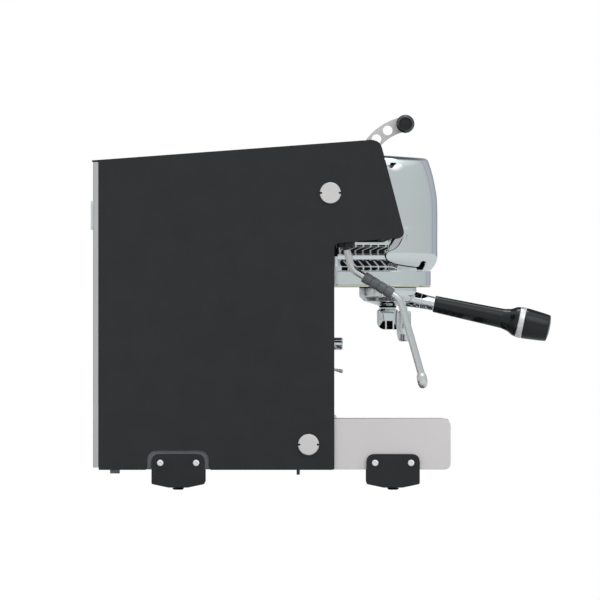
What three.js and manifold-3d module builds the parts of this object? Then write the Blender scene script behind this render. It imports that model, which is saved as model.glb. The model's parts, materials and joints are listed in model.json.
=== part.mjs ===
// One-group espresso machine: a boxy casing on four foot brackets, a chrome brew group with a locked-in
// portafilter, a steam wand with its lever, a hot-water outlet, a drip tray and the parts inside.
// Units are millimetres. +Z is up, the front faces -Y, and the origin is on the ground below the centre.

import * as THREE from "three";
import { mergeVertices } from "three/addons/utils/BufferGeometryUtils.js";
import Module from "manifold-3d";

const wasm = await Module();
wasm.setup();

// ---- driving dimensions ----
const GAP = 0.3;                       // clearance between touching pieces
const HALF_WIDTH = 150;                // outer face of a side panel
const SHEET = 3;                       // side panel thickness
const THIN = 1.5;                      // top, fascia and wall sheet
const INNER = HALF_WIDTH - SHEET - GAP; // space between the side panels, each side of the centre

const REAR_Y = 245.4;                  // side panel's rear edge
const PANEL_BOTTOM = 21.8;
const TOP_REAR_Z = 362.5;
const TOP_FRONT = [-64.1, 385.3];      // top front corner before rounding
const NOSE = [-92.4, 277.5];           // lower front corner of the overhang
const NOOK = [-14, 271];               // where the overhang meets the upright front edge
const TOP_SLOPE = (TOP_FRONT[1] - TOP_REAR_Z) / (TOP_FRONT[0] - REAR_Y);
const FACE_SLOPE = (NOSE[0] - TOP_FRONT[0]) / (NOSE[1] - TOP_FRONT[1]);
const COVER_FRONT = -48;               // where the top cover meets the fascia
const COVER_PROUD = 0.5;               // how far both stand above the side panels

const BASE_FRONT = -142.1;
const BASE_LOW = 22.3;
const BASE_HIGH = 78;

const FOOT_Y = { front: -78.6, rear: 157.9 };
const FOOT_HALF = 29.4;
const FOOT_TOP = 39.4;

const GROUP_Y = -73.2;                 // the brew group's vertical axis is at X 0
const GROUP_LOW = 223.1;
const GROUP_R = 47.4;
const NECK_BACK = -12.6;               // the neck ends just in front of the front wall

const HANDLE_TILT = 12.1;              // degrees that the portafilter handle falls towards the front
const HANDLE_Z = 215.5;                // height at which its axis meets the group's axis

const LEVER_ARC = { y: -102.7, z: 344.4, r: 59.3, half: 8.35 };
const LEVER_PIVOT = { y: -43.4, z: 344.4 };
const LEVER_END = 79.8;                // degrees round the arc from the pivot to the handle
const LEVER_X = -100;

const WAND_X = -100;                   // the hot-water outlet mirrors it at +100
const BALL = { y: -26.4, z: 271.5, r: 7.5 };
const OUTLET_Y = -24;                  // depth at which the hot-water tube comes down

// ---- finishes ----
const finish = (color, roughness, metalness) =>
  new THREE.MeshStandardMaterial({ color, roughness, metalness });
const FINISH = {
  black_sheet: finish(0x323435, 0.65, 0.2),
  grey_sheet: finish(0xc6c6c6, 0.5, 0.3),
  rear_sheet: finish(0xacacac, 0.5, 0.3),
  knob_metal: finish(0xc8c8c8, 0.35, 0.9),
  chrome: finish(0xdde2e4, 0.08, 1),
  steel: finish(0xc8cacc, 0.25, 1),
  lever_plate: finish(0xc3c3c3, 0.45, 0.5),
  black_plastic: finish(0x151617, 0.3, 0),
  foot_black: finish(0x1f2021, 0.55, 0),
  black_rubber: finish(0x1c1d1e, 0.85, 0),
  grey_rubber: finish(0x46484a, 0.8, 0),
  clear_tank: finish(0xbcd3dc, 0.2, 0),
  brass: finish(0xb08d4a, 0.35, 1),
  copper: finish(0xb87352, 0.4, 1),
};

// ---- solids ----
const radians = (degrees) => THREE.MathUtils.degToRad(degrees);

// A closed geometry as a solid, with its seams merged, slivers on a lathe's axis dropped and faces out.
function solid(geometry) {
  const bare = geometry.clone();
  bare.deleteAttribute("normal");
  bare.deleteAttribute("uv");
  const merged = mergeVertices(bare, 1e-4);
  const position = merged.attributes.position;
  const index = merged.index.array;
  const triangles = [];
  let volume = 0;
  const corner = [0, 1, 2].map(() => new THREE.Vector3());
  for (let i = 0; i < index.length; i += 3) {
    const [a, b, c] = index.slice(i, i + 3);
    if (a !== b && b !== c && c !== a) {
      triangles.push(a, b, c);
      [a, b, c].forEach((vertex, k) => corner[k].fromBufferAttribute(position, vertex));
      volume += corner[0].dot(corner[1].clone().cross(corner[2]));
    }
  }
  if (volume < 0) {
    triangles.reverse();
  }
  const mesh = new wasm.Mesh({
    numProp: 3,
    vertProperties: Float32Array.from(position.array),
    triVerts: Uint32Array.from(triangles),
  });
  return new wasm.Manifold(mesh);
}

function join(first, ...others) {
  return others.reduce((whole, piece) => whole.add(piece), first);
}

function cut(first, ...others) {
  return others.reduce((whole, piece) => whole.subtract(piece), first);
}

function box([x0, y0, z0], [x1, y1, z1]) {
  const geometry = new THREE.BoxGeometry(x1 - x0, y1 - y0, z1 - z0);
  geometry.translate((x0 + x1) / 2, (y0 + y1) / 2, (z0 + z1) / 2);
  return solid(geometry);
}

// A polygon whose corners [a, b, radius] are rounded; a corner with no radius stays sharp.
function outline(corners) {
  const shape = new THREE.Shape();
  corners.forEach(([a, b, radius = 0], i) => {
    const here = new THREE.Vector2(a, b);
    const before = new THREE.Vector2(...corners.at(i - 1).slice(0, 2)).sub(here);
    const after = new THREE.Vector2(...corners[(i + 1) % corners.length].slice(0, 2)).sub(here);
    const half = before.clone().normalize().angleTo(after.clone().normalize()) / 2;
    const reach = radius / Math.tan(half);
    const start = here.clone().addScaledVector(before.normalize(), reach);
    const end = here.clone().addScaledVector(after.normalize(), reach);
    if (i === 0) {
      shape.moveTo(start.x, start.y);
    } else {
      shape.lineTo(start.x, start.y);
    }
    if (radius > 0) {
      shape.quadraticCurveTo(here.x, here.y, end.x, end.y);
    }
  });
  shape.closePath();
  return shape;
}

const AXES = {
  x: new THREE.Matrix4().makeBasis(
    new THREE.Vector3(0, 1, 0), new THREE.Vector3(0, 0, 1), new THREE.Vector3(1, 0, 0)),
  y: new THREE.Matrix4().makeBasis(
    new THREE.Vector3(-1, 0, 0), new THREE.Vector3(0, 0, 1), new THREE.Vector3(0, 1, 0)),
  z: new THREE.Matrix4(),
};

// A shape drawn in (Y, Z), (-X, Z) or (X, Y) and extruded from low to high along x, y or z.
function prism(axis, shape, low, high, curveSegments = 5) {
  const settings = { depth: high - low, bevelEnabled: false, curveSegments };
  const geometry = new THREE.ExtrudeGeometry(shape, settings);
  geometry.translate(0, 0, low);
  geometry.applyMatrix4(AXES[axis]);
  return solid(geometry);
}

// A profile of [radius, height] turned round +Z.
function turned(profile, segments = 24) {
  const geometry = new THREE.LatheGeometry(profile.map(([r, z]) => new THREE.Vector2(r, z)), segments);
  geometry.rotateX(Math.PI / 2);
  return solid(geometry);
}

function rod(radius, low, high, segments = 16) {
  return turned([[0, low], [radius, low], [radius, high], [0, high]], segments);
}

function ring(inner, outer, low, high, segments = 24) {
  return turned([[inner, low], [outer, low], [outer, high], [inner, high], [inner, low]], segments);
}

// A round bar along X.
function crossbar(radius, x0, x1, y, z, segments = 16) {
  return rod(radius, x0, x1, segments).rotate([0, 90, 0]).translate([0, y, z]);
}

const machine = new THREE.Group();

// Adds a named piece of a given finish to the machine.
function add(name, body, look) {
  const { vertProperties, triVerts } = body.getMesh();
  const geometry = new THREE.BufferGeometry();
  geometry.setAttribute("position", new THREE.BufferAttribute(vertProperties, 3));
  geometry.setIndex(new THREE.BufferAttribute(triVerts, 1));
  geometry.computeVertexNormals();
  const mesh = new THREE.Mesh(geometry, FINISH[look]);
  mesh.name = name;
  machine.add(mesh);
}

const SIDES = [["left", -1], ["right", 1]];

// A solid made for the +X side, moved to the side given.
const onSide = (body, side) => (side > 0 ? body : body.mirror([1, 0, 0]));

// Height of the sloping top at a depth y, and depth of the sloping face at a height z.
const topAt = (y) => TOP_REAR_Z + TOP_SLOPE * (y - REAR_Y);
const faceAt = (z) => TOP_FRONT[0] + FACE_SLOPE * (z - TOP_FRONT[1]);

// ---- casing ----
const COIN_KNOBS = { upper: [-9.6, 326.6], lower: [14.4, 49.7] };
const COIN_R = 11.7;
const COIN_PROUD = 2.5;
const SHANK_R = 4.5;

function sidePanels() {
  const foot = FOOT_Y.rear;
  const edge = outline([
    [REAR_Y, PANEL_BOTTOM, 1],
    [REAR_Y, TOP_REAR_Z, 1],
    [...TOP_FRONT, 11.5],
    [...NOSE, 7.5],
    [...NOOK, 6.6],
    [NOOK[0], PANEL_BOTTOM, 2.5],
    [foot - 35.9, PANEL_BOTTOM],
    [foot - 33.9, PANEL_BOTTOM + 2],
    [foot - 33.9, 43.6, 11],
    [foot + 33.9, 43.6, 11],
    [foot + 33.9, PANEL_BOTTOM + 2],
    [foot + 35.9, PANEL_BOTTOM],
  ]);
  const holes = Object.values(COIN_KNOBS).map(([y, z]) =>
    crossbar(SHANK_R + GAP, 140, 160, y, z));
  const panel = cut(prism("x", edge, HALF_WIDTH - SHEET, HALF_WIDTH), ...holes);
  for (const [name, side] of SIDES) {
    add(`${name}_side_panel`, onSide(panel, side), "black_sheet");
  }
}

function coinKnobs() {
  const chamfer = 0.7;
  const low = HALF_WIDTH + GAP;
  const high = low + COIN_PROUD;
  const head = turned([
    [0, HALF_WIDTH - SHEET], [SHANK_R, HALF_WIDTH - SHEET], [SHANK_R, low],
    [COIN_R, low], [COIN_R, high - chamfer], [COIN_R - chamfer, high], [0, high],
  ], 20);
  const notch = 3.2;
  const slots = [-1, 1].map((end) =>
    box([-1.25, end * COIN_R - notch, high - 1.8], [1.25, end * COIN_R + notch, high + 1]));
  const knob = cut(head, ...slots).rotate([0, 90, 0]);
  for (const [name, side] of SIDES) {
    for (const [place, [y, z]] of Object.entries(COIN_KNOBS)) {
      add(`${name}_${place}_coin_knob`, onSide(knob.translate([0, y, z]), side), "knob_metal");
    }
  }
}

// The tub that carries everything: a floor between two cheeks that stand out at the front.
function baseFrame() {
  const back = REAR_Y - 3;
  const cheek = prism("x", outline([
    [back, BASE_LOW], [back, BASE_HIGH], [BASE_FRONT, BASE_HIGH, 9], [BASE_FRONT, BASE_LOW, 7.7],
  ]), INNER - SHEET, INNER);
  const floor = box([-INNER + 1, BASE_FRONT + 12, BASE_LOW], [INNER - 1, back, BASE_LOW + 2.5]);
  const rearWall = box([-INNER + 1, back - 2, BASE_LOW], [INNER - 1, back, BASE_HIGH]);
  const drainHole = rod(3.4, BASE_LOW - 5, BASE_LOW + 5).translate([-110, 227.7, 0]);
  const ventHole = rod(2.2, BASE_LOW - 5, BASE_LOW + 5).translate([-110, 25.8, 0]);
  const cheeks = SIDES.map(([, side]) => onSide(cheek, side));
  add("base_frame", cut(join(floor, rearWall, ...cheeks), drainHole, ventHole), "grey_sheet");
}

function topCover() {
  const slopingSheet = (front, rear, half) => prism("x", outline([
    [rear, topAt(rear) + COVER_PROUD], [front, topAt(front) + COVER_PROUD],
    [front, topAt(front) + COVER_PROUD - THIN], [rear, topAt(rear) + COVER_PROUD - THIN],
  ]), -half, half);
  const leverSlot = box([LEVER_X - 7, COVER_FRONT - 5, 350], [LEVER_X + 7, COVER_FRONT + 10, 400]);
  const tankMouth = box([-TANK.half, TANK.front, 340], [TANK.half, TANK.rear, 400]);
  const sheet = slopingSheet(COVER_FRONT, 252.8, INNER);
  add("top_cover", cut(sheet, leverSlot, tankMouth), "black_sheet");
  const play = 0.6;
  const lid = slopingSheet(TANK.front + play, TANK.rear - play, TANK.half - play);
  const fingerHole = rod(9, 340, 400, 16).translate([0, TANK.front + 18, 0]);
  add("tank_lid", cut(lid, fingerHole), "black_sheet");
}

function rearCover() {
  const [low, high] = [24.4, 360.6];
  const [inside, outside] = [REAR_Y + GAP, 251.6];
  const width = HALF_WIDTH - 0.5;
  const tray = cut(
    prism("z", outline([[-width, inside], [width, inside], [width, outside, 2], [-width, outside, 2]]), low, high),
    box([-width + THIN, inside - 1, low + THIN], [width - THIN, outside - THIN, high - THIN]),
  );
  const louvres = [];
  for (const x of [-60, 60]) {
    for (let row = 0; row < 6; row += 1) {
      const z = 70 + row * 12;
      louvres.push(box([x - 32, inside - 2, z], [x + 32, outside + 2, z + 4]));
    }
  }
  add("rear_cover", cut(tray, ...louvres), "rear_sheet");
  const plate = prism("y", outline([[-45, 286.3, 4], [45, 286.3, 4], [45, 318.2, 4], [-45, 318.2, 4]]),
    outside + GAP, 255);
  add("rear_plate", plate, "grey_sheet");
}

// The folded sheet between the panels: sloping face, rounded nose and the underside back to the wall.
function frontFascia() {
  const inset = 1.6;
  const high = topAt(TOP_FRONT[0]) + COVER_PROUD;
  const [noseY, noseZ] = [NOSE[0] + inset + 0.4, NOSE[1] + inset];
  const [backY, backZ] = [NECK_BACK + 3, NOOK[1] + inset + 0.4];
  const sheet = prism("x", outline([
    [COVER_FRONT - GAP, topAt(COVER_FRONT) + COVER_PROUD], [faceAt(high) + inset, high, 11],
    [noseY, noseZ, 6], [backY, backZ], [backY, backZ + THIN],
    [noseY + THIN + 0.5, noseZ + THIN, 4.5], [faceAt(high) + inset + THIN, high - THIN, 9.5],
    [COVER_FRONT - GAP, topAt(COVER_FRONT) + COVER_PROUD - THIN],
  ]), -INNER, INNER);
  const leverSlot = box([LEVER_X - 7, -120, 340], [LEVER_X + 7, COVER_FRONT + 1, 400]);
  const outlets = [[WAND_X, BALL.y], [-WAND_X, OUTLET_Y]].map(([x, y]) =>
    rod(BALL.r + 1.5, 255, 300, 20).translate([x, y, 0]));
  const neckOpening = box([-38, -100, 262], [38, -20, 345]);
  add("front_fascia", cut(sheet, leverSlot, neckOpening, ...outlets), "black_sheet");
}

const CONTROL_X = 100;
const BUTTON = { z: 160.2, r: 6.95, front: -23.7 };
const TOGGLE = { y: -14.2, z: 131.8 };

// The upright sheet behind the cup bay, with a lip over the rear edge of the tray.
function frontWall() {
  const [front, back] = [-12.3, -10.3];
  const sheet = prism("x", outline([
    [front, 78.6], [front - 4.6, 78.6], [front - 4, 80.4], [front, 82],
    [front, 272.6], [back, 272.6], [back, 78.6],
  ]), -INNER, INNER);
  const buttonHole = rod(BUTTON.r + 0.4, -30, 30, 20).rotate([90, 0, 0]).translate([CONTROL_X, 0, BUTTON.z]);
  const toggleHole = box([CONTROL_X - 4, -20, TOGGLE.z - 6.5], [CONTROL_X + 4, 0, TOGGLE.z + 6.5]);
  add("front_wall", cut(sheet, buttonHole, toggleHole), "steel");
}

// ---- underside ----
function undersideFittings() {
  const drain = join(rod(3, BASE_LOW - 1, 32, 12), prism("z", outline([
    [-5.4, -5.4, 1.5], [5.4, -5.4, 1.5], [5.4, 5.4, 1.5], [-5.4, 5.4, 1.5],
  ]), 17.7, BASE_LOW - GAP, 3));
  add("drain_fitting", drain.translate([-110, 227.7, 0]), "grey_rubber");
  add("vent_pin", rod(1.85, 16.3, 30, 12).translate([-110, 25.8, 0]), "steel");
}

// ---- feet ----
function feet() {
  const sole = 2.3;
  const upright = outline([
    [-FOOT_HALF, 6.3, 2], [-10.5, sole], [10.5, sole], [FOOT_HALF, 6.3, 2],
    [FOOT_HALF, FOOT_TOP, 9], [-FOOT_HALF, FOOT_TOP, 9],
  ]);
  const block = outline([
    [-FOOT_HALF + 0.6, 6.6, 2], [-10.5, sole], [10.5, sole], [FOOT_HALF - 0.6, 6.6, 2],
    [FOOT_HALF - 0.6, PANEL_BOTTOM - GAP], [-FOOT_HALF + 0.6, PANEL_BOTTOM - GAP],
  ]);
  const bracket = join(
    prism("x", upright, INNER + GAP, HALF_WIDTH, 4), prism("x", block, 116, HALF_WIDTH, 4));
  const pad = prism("z", outline([[118, -5, 2], [146, -5, 2], [146, 5, 2], [118, 5, 2]]), 0, sole - GAP, 3);
  const head = turned([[0, 0], [3.6, 0], [3.6, 0.7], [2.4, 1.8], [1.4, 1.8], [1.1, 0.9], [0, 0.9]], 12)
    .rotate([0, 90, 0]).translate([HALF_WIDTH + GAP, 0, 29.5]);
  for (const [name, side] of SIDES) {
    for (const [end, y] of Object.entries(FOOT_Y)) {
      const here = `${end}_${name}`;
      add(`${here}_foot`, onSide(bracket.translate([0, y, 0]), side), "foot_black");
      add(`${here}_foot_pad`, onSide(pad.translate([0, y, 0]), side), "black_rubber");
      for (const [label, shift] of [["a", -19.75], ["b", 19.75]]) {
        add(`${here}_screw_${label}`, onSide(head.translate([0, y + shift, 0]), side), "knob_metal");
      }
    }
  }
}

// ---- drip tray ----
function dripTray() {
  const half = INNER - SHEET - 0.8;
  const [front, back] = [BASE_FRONT + 0.6, NECK_BACK - 1];
  const [low, high] = [BASE_LOW + 3, 73.6];
  const tub = cut(
    prism("x", outline([[back, low], [back, high], [front, high, 4], [front, low, 6]]), -half, half, 4),
    box([-half + 2, front + 2.5, low + 2], [half - 2, back - 2, high + 1]),
  );
  add("drip_tray", tub, "black_sheet");

  const [grilleFront, grilleBack] = [front + 1.4, back - 4];
  const pitch = 10.2;
  const wide = 7.6;
  const lean = 9;
  const slots = [];
  // each slot runs straight out from the centre bar and then leans forward, with a short one beyond it
  for (let y = grilleFront + lean + 3; y < grilleBack - wide - 3; y += pitch) {
    for (const side of [-1, 1]) {
      const [near, far] = [y - lean, y - lean + wide];
      const long = [[4, y], [62, y], [112, near], [112, far], [62, y + wide], [4, y + wide]];
      const short = [[118, near], [half - 9, near], [half - 9, far], [118, far]];
      for (const corners of [long, short]) {
        const placed = corners.map(([x, depth]) => [side * x, depth]);
        slots.push(prism("z", outline(side > 0 ? placed : placed.reverse()), 70, 80));
      }
    }
  }
  const plate = box([-half + 1, grilleFront, high + GAP], [half - 1, grilleBack, high + GAP + 3]);
  add("drip_grille", cut(plate, ...slots), "chrome");
}

// ---- brew group ----
// Half of the hood's outline: [radius, height] from its lower rim up to above its flat top.
const HOOD_PROFILE = [
  [47.9, 241.9], [51.9, 247.1], [54.8, 252.8], [54.8, 305.4], [52.5, 332.2],
  [49.8, 345.7], [45.8, 359.2], [43.4, 363.6], [39.4, 366], [38.6, 370],
];
const HOOD_TOP_FRONT = [-113.6, 365.3]; // the flat top rises from here towards the casing
const HOOD_RISE = 0.07;                // height gained for each unit of depth

// A turned front joined to a straight-sided block that runs back to a depth of backY.
function racetrack(profile, backY, segments) {
  const [low, high] = [profile[0][1], profile.at(-1)[1]];
  const front = turned([[0, low], ...profile, [0, high]], segments).translate([0, GROUP_Y, 0]);
  const left = profile.map(([r, z]) => [-r, z]).reverse();
  return join(front, prism("y", outline([...profile, ...left]), GROUP_Y, backY));
}

function groupHood() {
  const wall = 2.4;
  const [topY, topZ] = HOOD_TOP_FRONT;
  const above = (drop) => prism("x", outline([
    [topY - 30, topZ - drop - 30 * HOOD_RISE], [topY + 80, topZ - drop + 80 * HOOD_RISE],
    [topY + 80, topZ + 60], [topY - 30, topZ + 60],
  ]), -80, 80);
  const outer = cut(racetrack(HOOD_PROFILE, -30, 28), above(0));
  const innerProfile = [[48.2 - wall, 230], ...HOOD_PROFILE.map(([r, z]) => [r - wall, z - 2.2])];
  const inner = cut(racetrack(innerProfile, -20, 20), above(wall));
  // the hood ends where the sloping fascia begins, and its lower rear corner sweeps up over the neck
  const behind = prism("x", outline([
    [faceAt(400) + GAP, 400], [faceAt(281) + GAP, 281], [-88.5, 274.8], [-85.5, 268.5], [-80.8, 264.6],
    [-73, 261.8], [-71.4, 256], [-74.6, 251.7], [-81.6, 249], [-106, 245.3],
    [-109, 249], [-111.5, 252], [-114.5, 251], [-113.5, 246.5], [-110, 242.2], [-106, 243.6],
    [-104, 236], [0, 236], [0, 400],
  ]), -80, 80);
  add("group_hood", cut(outer, inner, behind), "chrome");
}

const HEAD_RECESS = { r: 36, top: 240 };
const LUG = { inner: 30, outer: 39.6, low: 226, high: 229.6, unlock: -50 };

// The cast neck and lower body, with the bayonet recess under it and the head inside the hood.
function groupBody() {
  const neckHalf = [
    [GROUP_R, GROUP_LOW], [GROUP_R, 240.8], [49.4, 242.2], [54.6, 252.2], [56.8, 253.4],
    [56.8, 257.4], [55.6, 258], [70, 268], [70, 272.4],
  ];
  const neck = prism("y", outline([
    ...neckHalf.map(([r, z]) => [-r, z]), ...neckHalf.map(([r, z]) => [r, z]).reverse(),
  ]), -69.5, NECK_BACK);
  const lower = racetrack([[GROUP_R, GROUP_LOW], [GROUP_R, 240.8], [44, 241]], NECK_BACK, 28);
  const head = rod(34, 240, 318, 16).translate([0, GROUP_Y, 0]);
  const throat = box([-34, GROUP_Y, 240], [34, -20, 300]);
  const recess = rod(HEAD_RECESS.r, GROUP_LOW - 1, HEAD_RECESS.top, 24);
  const groove = rod(LUG.outer + 1.2, LUG.low - 0.6, LUG.high + 0.6, 24);
  const entries = [0, 180].map((turn) =>
    box([0, -8, GROUP_LOW - 1], [LUG.outer + 1, 8, LUG.high]).rotate([0, 0, LUG.unlock + turn]));
  const bayonet = join(recess, groove, ...entries).translate([0, GROUP_Y, 0]);
  add("group_body", cut(join(neck, lower, head, throat), bayonet), "chrome");
  add("group_gasket", ring(28.4, 35.4, 230.7, 238, 24).translate([0, GROUP_Y, 0]), "black_rubber");
  add("shower_screen", turned([
    [0, 231.2], [26, 231.2], [27.6, 232.2], [27.6, 234.5], [0, 234.5],
  ], 20).translate([0, GROUP_Y, 0]), "steel");
}

// ---- portafilter ----
function portafilter() {
  const alongHandle = (body) => body.rotate([90 + HANDLE_TILT, 0, 0]).translate([0, 0, HANDLE_Z]);
  const bowl = turned([
    [3.5, 199.4], [8.9, 199.4], [8.9, 203.6], [24, 207], [29, 209], [31.6, 214.5], [31.6, LUG.high + 0.4],
    [28.4, LUG.high + 0.4], [28.4, 210], [24, 207.8], [3.5, 207.4], [3.5, 199.4],
  ], 24);
  const cavity = rod(28.4, 210, 240, 24);
  const boss = cut(alongHandle(rod(9.4, 20, 37, 12)), cavity, rod(27, 207.6, 212, 24));
  const lugs = [0, 180].map((turn) => cut(
    box([LUG.inner, -7, LUG.low], [LUG.outer, 7, LUG.high]).rotate([0, 0, turn]), cavity));
  const place = [0, GROUP_Y, 0];
  add("portafilter_body", join(bowl, boss, ...lugs).translate(place), "chrome");

  const rim = LUG.high + 0.4 + GAP;
  add("filter_basket", turned([
    [0, 209.2], [25.5, 209.2], [27.8, 211.5], [27.8, rim], [31, rim], [31, rim + 0.3], [27, rim + 0.3],
    [27, 212], [25, 210.2], [0, 210.2],
  ], 24).translate(place), "steel");

  const across = outline([
    [-7, 199, 1], [7, 199, 1], [11.5, 192, 2], [20, 185, 3], [20, 176.2, 2], [9, 176.2, 2], [9, 182, 2],
    [-9, 182, 2], [-9, 176.2, 2], [-20, 176.2, 2], [-20, 185, 3], [-11.5, 192, 2],
  ]);
  const along = outline([
    [-9.5, 199, 1], [9.5, 199, 1], [11.9, 196, 2], [11.9, 176.2, 8], [-11.9, 176.2, 3], [-11.9, 196, 2],
  ]);
  const block = prism("y", across, -12, 12, 2).intersect(prism("x", along, -22, 22, 3));
  const outlets = [-14.5, 14.5].map((x) => rod(3.6, 170, 184, 10).translate([x, 0, 0]));
  add("twin_spout", cut(block, ...outlets, rod(3.5, 190, 205, 10)).translate(place), "chrome");

  const tilted = (name, body, look) => add(name, alongHandle(body).translate(place), look);
  tilted("handle_stem", turned([
    [0, 37 + GAP], [8.6, 37 + GAP], [8.6, 40], [7.5, 41.5], [7.5, 52], [0, 52],
  ], 16), "chrome");
  tilted("handle_grip", turned([
    [0, 52 + GAP], [8.2, 52 + GAP], [9.2, 53.5], [10.9, 131.6], [12.6, 137], [15.4, 142.5],
    [16.9, 147.3], [0, 147.3],
  ], 20), "black_plastic");
  tilted("handle_ring", rod(17.2, 147.3 + GAP, 153.5, 24), "steel");
  tilted("handle_cap", turned([
    [0, 153.5 + GAP], [17, 153.5 + GAP], [17, 157], [15.6, 172], [14.6, 181], [13.4, 182.2], [0, 183.2],
  ], 20), "black_plastic");
}

// ---- steam ----
// A plate between two arcs, with a round end at the pivot.
function leverBand(half, start, end) {
  const { y, z, r } = LEVER_ARC;
  const shape = new THREE.Shape();
  shape.absarc(y, z, r + half, radians(start), radians(end), false);
  shape.absarc(y, z, r - half, radians(end), radians(start), true);
  shape.closePath();
  return shape;
}

function steamLever() {
  const { y, z, r, half } = LEVER_ARC;
  const thickness = 5;
  const shaftR = 5;
  const at = (degrees) => [y + r * Math.cos(radians(degrees)), z + r * Math.sin(radians(degrees))];
  const band = (grow, end) => prism("x", leverBand(half + grow, 0, end),
    LEVER_X - thickness / 2 - grow, LEVER_X + thickness / 2 + grow, 10);
  const pivot = [LEVER_PIVOT.y, LEVER_PIVOT.z];
  const hub = crossbar(half, LEVER_X - thickness / 2, LEVER_X + thickness / 2, ...pivot, 16);
  const holes = [15, 29.6, 44.6, 59.7].map((degrees) =>
    crossbar(5.3, LEVER_X - 10, LEVER_X + 10, ...at(degrees), 12));
  const shaft = crossbar(shaftR, LEVER_X - 14, LEVER_X + 26, ...pivot);
  add("steam_lever_arm", join(cut(join(band(0, LEVER_END), hub), ...holes), shaft), "lever_plate");

  const gripHalf = 34;
  const grip = turned([
    [0, -gripHalf + 1], [6, -gripHalf + 1], [6, -gripHalf], [7.4, -gripHalf], [10, -gripHalf + 2.4],
    [10, gripHalf - 2.4], [7.4, gripHalf], [6, gripHalf], [6, gripHalf - 1], [0, gripHalf - 1],
  ], 16).rotate([0, 90, 0]).translate([LEVER_X, ...at(LEVER_END)]);
  add("steam_lever_handle", cut(grip, band(GAP, LEVER_END + 1)), "black_plastic");

  const valve = cut(
    join(
      box([LEVER_X + 10, pivot[0] - 14, pivot[1] - 16], [LEVER_X + 36, pivot[0] + 20, pivot[1] + 12]),
      rod(7, 284, LEVER_PIVOT.z, 14).translate([LEVER_X + 18, BALL.y, 0]),
    ),
    crossbar(shaftR + GAP, LEVER_X, LEVER_X + 28, ...pivot),
  );
  add("steam_valve", valve, "brass");
}

// A bent round tube through points in a plane of constant x, its corners rounded.
function bentTube(x, points, radius) {
  const path = new THREE.CurvePath();
  const at = points.map(([y, z]) => new THREE.Vector3(x, y, z));
  let from = at[0];
  for (let i = 1; i < at.length - 1; i += 1) {
    const reach = points[i][2];
    const start = at[i].clone().addScaledVector(at[i - 1].clone().sub(at[i]).normalize(), reach);
    const end = at[i].clone().addScaledVector(at[i + 1].clone().sub(at[i]).normalize(), reach);
    path.add(new THREE.LineCurve3(from, start));
    path.add(new THREE.QuadraticBezierCurve3(start, at[i], end));
    from = end;
  }
  path.add(new THREE.LineCurve3(from, at.at(-1)));
  const section = new THREE.Shape().absarc(0, 0, radius, 0, 2 * Math.PI, false);
  return solid(new THREE.ExtrudeGeometry(section, {
    steps: 20, curveSegments: 4, bevelEnabled: false, extrudePath: path,
  }));
}

// A turned piece laid along the line from one (y, z) point to another; its profile's heights start at the first.
function alongLine(profile, x, [y0, z0], [y1, z1], segments) {
  const fall = THREE.MathUtils.radToDeg(Math.atan2(y0 - y1, z1 - z0));
  return turned(profile, segments).rotate([fall, 0, 0]).translate([x, y0, z0]);
}

const WAND_BENDS = [[-33.1, 243, 8.5], [-86.2, 210.2, 7.8]];
const WAND_END = [-109.4, 128.5];
const WAND_TIP = [-112.4, 111.3];

function steamWand() {
  const below = [BALL.y - 1.2, BALL.z - BALL.r + 0.6];
  const ball = solid(new THREE.SphereGeometry(BALL.r, 12, 8)).translate([WAND_X, BALL.y, BALL.z]);
  const socket = alongLine([[0, -20], [4.3, -20], [4.3, 3], [0, 3]], WAND_X, below, [BALL.y, BALL.z], 16);
  const stem = rod(4, BALL.z + 6, BALL.z + 14, 12).translate([WAND_X, BALL.y, 0]);
  add("steam_ball", join(cut(ball, socket), stem), "chrome");
  const collar = ring(BALL.r + 0.4, BALL.r + 3, BALL.z - 5, BALL.z + 1, 20).translate([WAND_X, BALL.y, 0]);
  add("steam_collar", collar, "black_plastic");
  add("steam_tube", bentTube(WAND_X, [below, ...WAND_BENDS, WAND_END], 4), "steel");

  const [start, end] = [[-46.4, 234.7], [-78, 215.1]];
  const length = Math.hypot(end[0] - start[0], end[1] - start[1]);
  const inner = 4 + GAP;
  const sleeve = [[inner, 0], [5.4, 0], [6.2, 1]];
  for (let rib = 1; rib <= 3; rib += 1) {
    const at = (rib / 4) * length;
    sleeve.push([6.2, at - 1], [5.6, at - 0.4], [5.6, at + 0.4], [6.2, at + 1]);
  }
  sleeve.push([6.2, length - 1], [5.4, length], [inner, length], [inner, 0]);
  add("wand_grip", alongLine(sleeve, WAND_X, start, end, 12), "grey_rubber");

  const tipLength = Math.hypot(WAND_TIP[0] - WAND_END[0], WAND_TIP[1] - WAND_END[1]);
  add("wand_tip", alongLine([
    [0, 0.9], [4.6, 0.9], [5.6, 2.4], [6, 7], [5.6, 12], [3.8, tipLength - 1.6], [1.6, tipLength], [0, tipLength],
  ], WAND_X, WAND_END, WAND_TIP, 12), "steel");
}

// ---- hot water ----
function hotWater() {
  const x = -WAND_X;
  const end = [-91.3, 196];
  const bends = [[OUTLET_Y, 262, 5], [-31.4, 242, 8.5], [-91.3, 205.6, 6]];
  add("hot_water_tube", bentTube(x, [[OUTLET_Y, 282.5], ...bends, end], 4), "steel");
  add("hot_water_nozzle", turned([
    [5, 162.6], [6.6, 162.6], [8, 168], [8, 194], [7, 196.6], [4.3, 196.6], [4.3, 192], [5, 190], [5, 162.6],
  ], 16).translate([x, end[0], 0]), "steel");
}

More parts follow.
